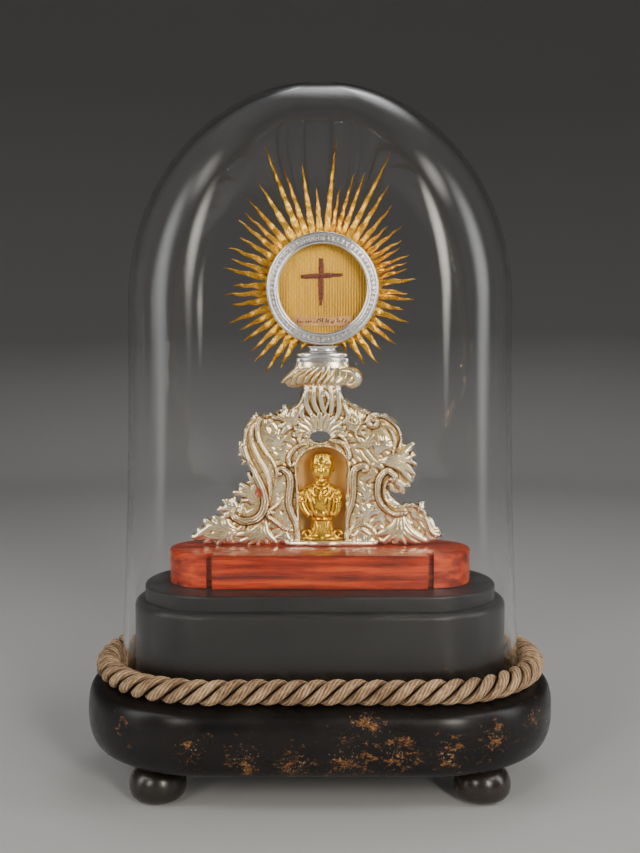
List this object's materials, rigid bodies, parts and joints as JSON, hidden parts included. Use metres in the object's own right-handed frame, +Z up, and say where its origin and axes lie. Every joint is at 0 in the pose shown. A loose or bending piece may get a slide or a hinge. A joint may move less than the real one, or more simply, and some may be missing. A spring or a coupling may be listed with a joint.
{
  "type": "reliquary under a glass dome",
  "caption": "Round relic capsule with gilt rays on a cast silver rococo foot, standing on a mahogany block and black plinth under an oval glass dome.",
  "frame": {"origin": "middle of the ground under the four bun feet", "axes": "+Z up; -Y is the front, which the capsule and the bust face; +X is to the viewer's right"},
  "size_m": [0.316, 0.174, 0.4631],
  "materials": {
    "ebonised_wood": "black ebonised wood, satin to glossy, rubbed brown on the swell and the feet",
    "mahogany": "red mahogany with a high varnish",
    "silver": "cast silver, polished on its high places and warm with tarnish in its hollows",
    "gilt_metal": "old gilding, bright on the edges and darker in the folds",
    "clear_glass": "clear blown glass",
    "corded_silk": "gold silk with upright cords",
    "relic_wood": "dark old wood, dry and unpolished",
    "aged_paper": "thin aged paper with rows of ink strokes",
    "hemp_rope": "three-strand laid hemp rope, brown and dusty"
  },
  "bodies": {
    "root": {"bun_foot_front_left": "ebonised_wood", "bun_foot_front_right": "ebonised_wood", "bun_foot_back_left": "ebonised_wood", "bun_foot_back_right": "ebonised_wood", "base": "ebonised_wood", "inner_plinth": "ebonised_wood", "plinth_top_board": "ebonised_wood", "mahogany_block": "mahogany", "silver_foot": "silver", "niche_shell": "gilt_metal", "gilt_bust": "gilt_metal", "ring_stem": "silver", "silver_capsule": "silver", "capsule_back_cap": "silver", "gilt_sunburst": "gilt_metal", "capsule_glass": "clear_glass", "silk_ground": "corded_silk", "relic_cross": "relic_wood", "paper_label": "aged_paper", "rope_ring": "hemp_rope", "glass_dome": "clear_glass"}
  },
  "joints": []
}
